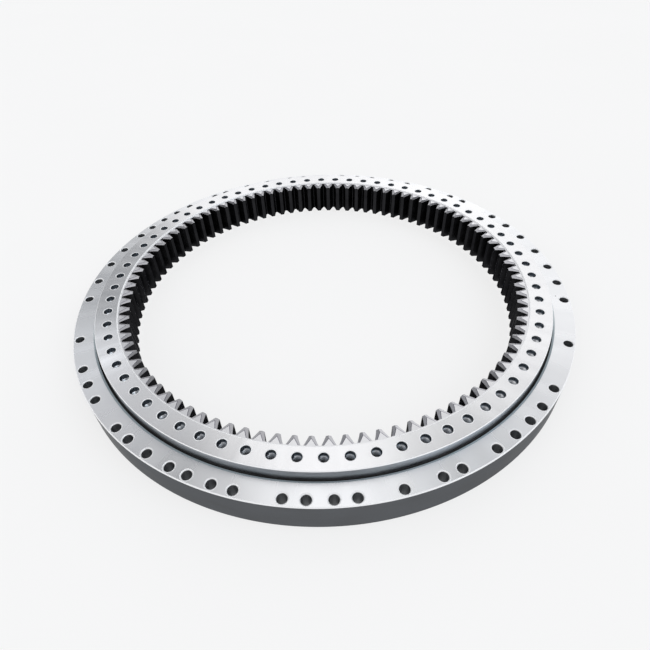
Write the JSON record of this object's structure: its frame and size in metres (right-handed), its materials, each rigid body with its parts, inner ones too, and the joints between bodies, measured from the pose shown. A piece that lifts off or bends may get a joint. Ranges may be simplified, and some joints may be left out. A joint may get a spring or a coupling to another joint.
{
  "type": "slewing ring bearing",
  "caption": "Large ball slewing ring: outer bolted ring, inner bolted ring with internal spur gear, sealed ball raceway between them, for swinging machine upper structures.",
  "frame": {"origin": "on the axis of rotation, in the bottom mounting face of the outer ring", "axes": "+Z along the axis of rotation, up through the raised inner ring; -Y towards the front of the ring, +X to its right"},
  "size_m": [1.2098, 1.21, 0.094],
  "materials": {
    "ring_steel": "ground faces, finely turned walls and dark hobbed tooth flanks",
    "ball_steel": "polished bearing steel",
    "spacer_nylon": "natural nylon",
    "seal_rubber": "matt black nitrile rubber",
    "plug_steel": "turned steel",
    "fitting_steel": "yellow zinc-plated steel",
    "spring_steel": "drawn spring wire"
  },
  "bodies": {
    "outer_ring": {"outer_ring": "ring_steel", "upper_seal": "seal_rubber", "lower_seal": "seal_rubber", "filling_plug": "plug_steel", "plug_taper_pin": "plug_steel", "grease_fitting_right": "fitting_steel", "grease_fitting_rear": "fitting_steel", "grease_fitting_left": "fitting_steel", "fitting_spring_right": "spring_steel", "fitting_spring_rear": "spring_steel", "fitting_spring_left": "spring_steel"},
    "inner_ring": {"inner_gear_ring": "ring_steel"},
    "ball_train": {"balls": "ball_steel", "ball_spacers": "spacer_nylon"},
    "check_ball_right": {"fitting_ball_right": "ball_steel"},
    "check_ball_rear": {"fitting_ball_rear": "ball_steel"},
    "check_ball_left": {"fitting_ball_left": "ball_steel"}
  },
  "joints": [
    {"name": "slewing", "type": "hinge", "parent": "outer_ring", "child": "inner_ring", "pos_m": [0, 0, 0.039], "axis": [0, 0, 1], "continuous": true},
    {"name": "ball_orbit", "type": "hinge", "parent": "outer_ring", "child": "ball_train", "pos_m": [0, 0, 0.039], "axis": [0, 0, 1], "continuous": true},
    {"name": "grease_valve_right", "type": "slide", "parent": "outer_ring", "child": "check_ball_right", "axis": [0.8581, -0.5135, 0], "range_m": [-0.0008, 0], "stiffness_N_per_m": 400, "springref_m": 0.0005, "deforming": ["fitting_spring_right"]},
    {"name": "grease_valve_rear", "type": "slide", "parent": "outer_ring", "child": "check_ball_rear", "axis": [0, 1, 0], "range_m": [-0.0008, 0], "stiffness_N_per_m": 400, "springref_m": 0.0005, "deforming": ["fitting_spring_rear"]},
    {"name": "grease_valve_left", "type": "slide", "parent": "outer_ring", "child": "check_ball_left", "axis": [-0.915, -0.4035, 0], "range_m": [-0.0008, 0], "stiffness_N_per_m": 400, "springref_m": 0.0005, "deforming": ["fitting_spring_left"]}
  ],
  "couplings": [
    {"joint": "ball_orbit", "follows": "slewing", "ratio": 0.4898}
  ]
}
